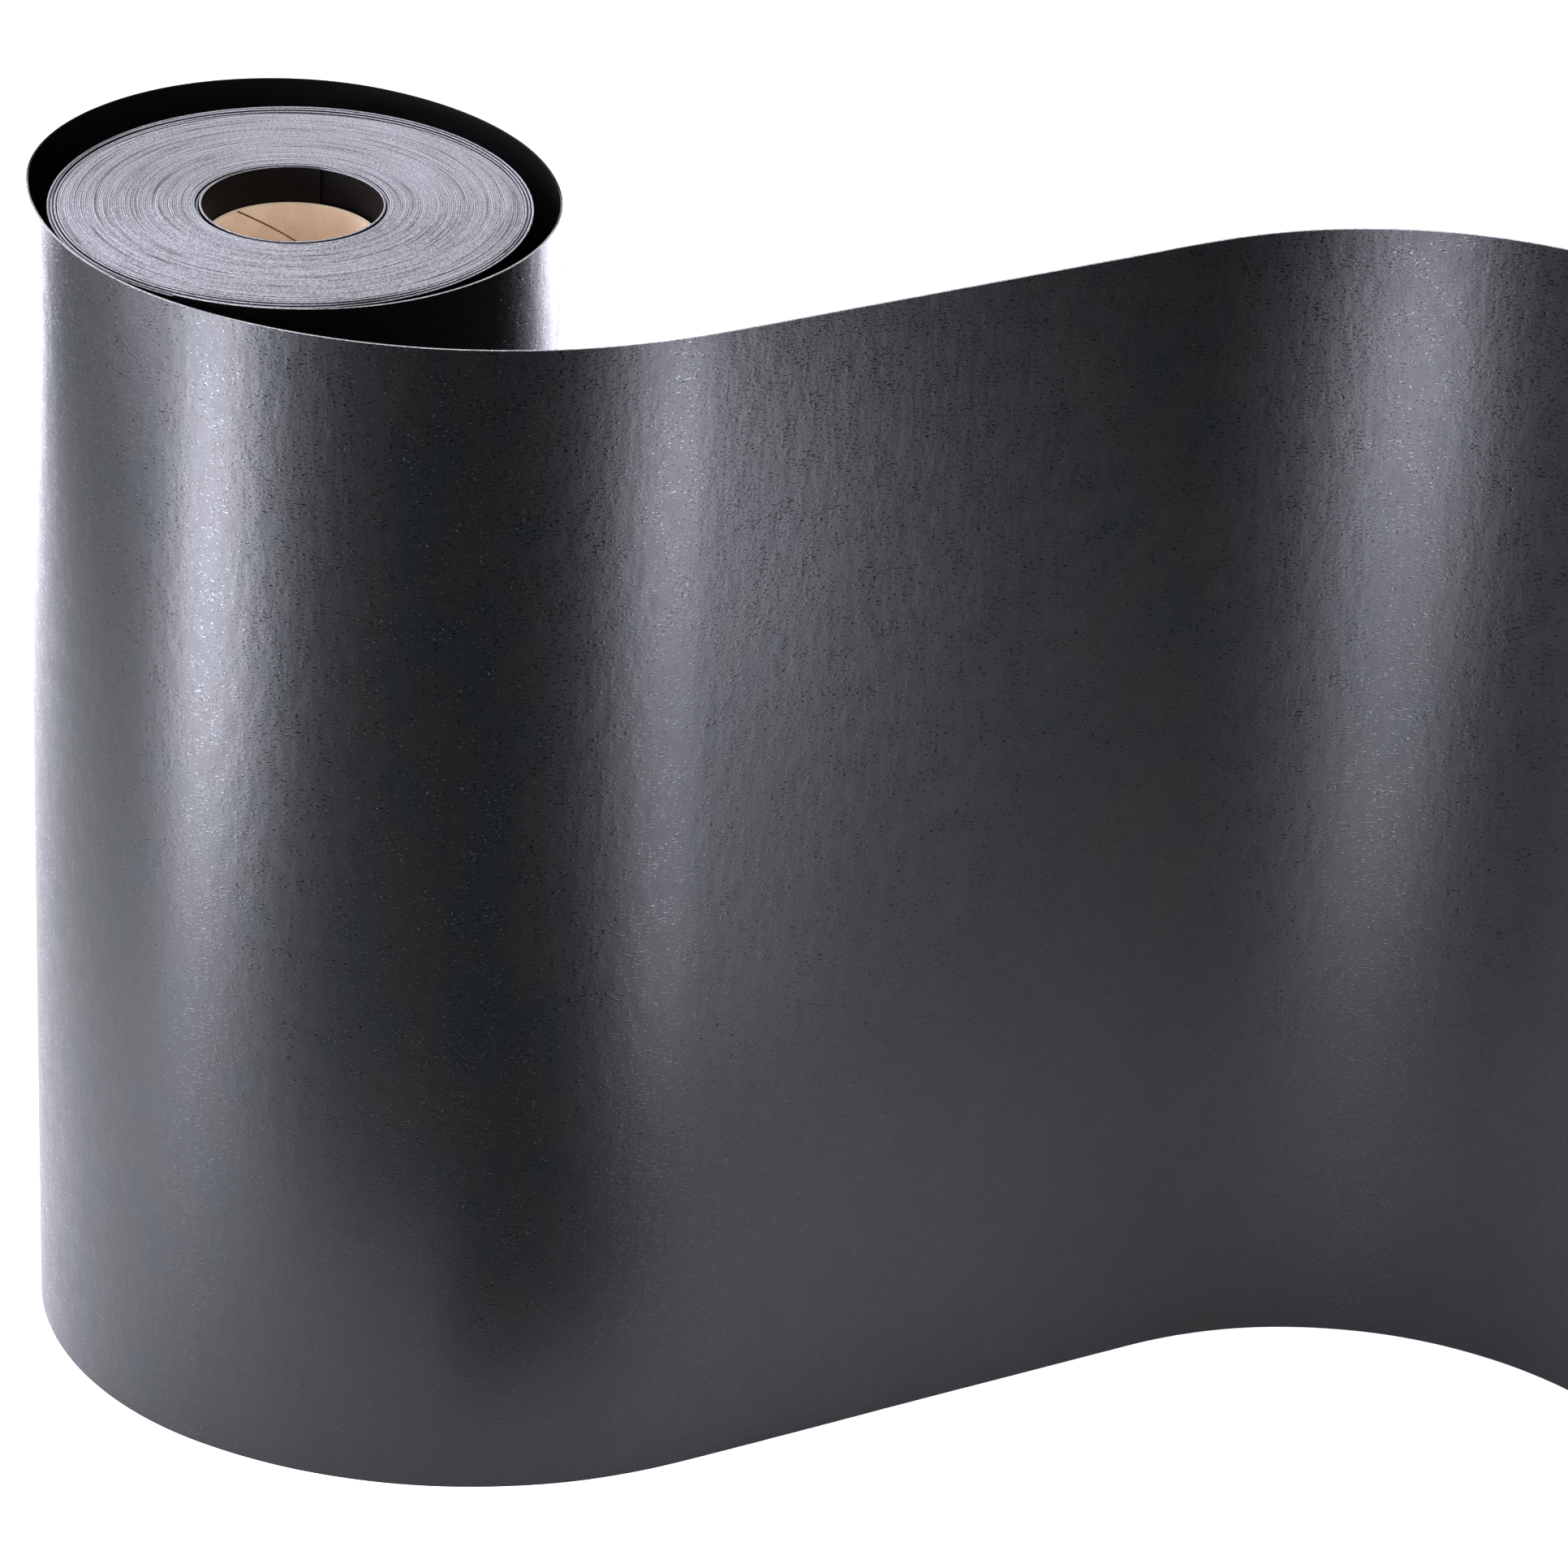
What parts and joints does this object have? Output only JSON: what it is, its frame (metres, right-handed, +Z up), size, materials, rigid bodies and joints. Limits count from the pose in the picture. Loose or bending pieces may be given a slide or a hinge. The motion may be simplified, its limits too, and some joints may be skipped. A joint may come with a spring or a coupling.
{
  "type": "roll of sign vinyl",
  "caption": "Part-used roll of black sign vinyl on a kraft paper core, standing on end, with its free end unrolled beside it in a lazy wave.",
  "frame": {"origin": "middle of the object's footprint, on the surface that it stands on", "axes": "+X along the free end, away from the roll; +Y across the roll, away from the side where the free end leaves it; +Z up along the roll's axis"},
  "size_m": [0.3984, 0.1482, 0.305],
  "materials": {
    "face_film": "satin black film with a fine leathery grain",
    "release_liner": "smooth deep black",
    "wound_sheet": "slit edges, pale grey with fine dark lines between turns",
    "kraft_core": "matt kraft board, slightly blotchy"
  },
  "bodies": {
    "roll": {"wound_pack": "wound_sheet", "inner_turn_1": "wound_sheet", "inner_turn_2": "wound_sheet", "outer_turn_1": "wound_sheet", "outer_turn_2": "wound_sheet", "outer_turn_3": "wound_sheet"},
    "core": {"core_inner_ply": "kraft_core", "core_middle_ply": "kraft_core", "core_outer_ply": "kraft_core"},
    "loose_turn": {"loose_turn_film": "face_film", "loose_turn_liner": "release_liner"},
    "near_web": {"near_web_film": "face_film", "near_web_liner": "release_liner"},
    "far_web": {"far_web_film": "face_film", "far_web_liner": "release_liner"}
  },
  "joints": [
    {"name": "unwind", "type": "hinge", "parent": "roll", "child": "loose_turn", "pos_m": [-0.13636, 0.00122, 0.1525], "axis": [0, 0, 1], "continuous": true},
    {"name": "core_slide", "type": "slide", "parent": "roll", "child": "core", "axis": [0, 0, 1], "range_m": [0, 0.009]},
    {"name": "near_flex", "type": "hinge", "parent": "loose_turn", "child": "near_web", "pos_m": [-0.08065, -0.07319, 0.1525], "axis": [0, 0, 1], "range_deg": [-40, 40], "stiffness_Nm_per_rad": 0.035},
    {"name": "far_flex", "type": "hinge", "parent": "near_web", "child": "far_web", "pos_m": [0.05673, -0.00873, 0.1525], "axis": [0, 0, 1], "range_deg": [-50, 50], "stiffness_Nm_per_rad": 0.035}
  ]
}
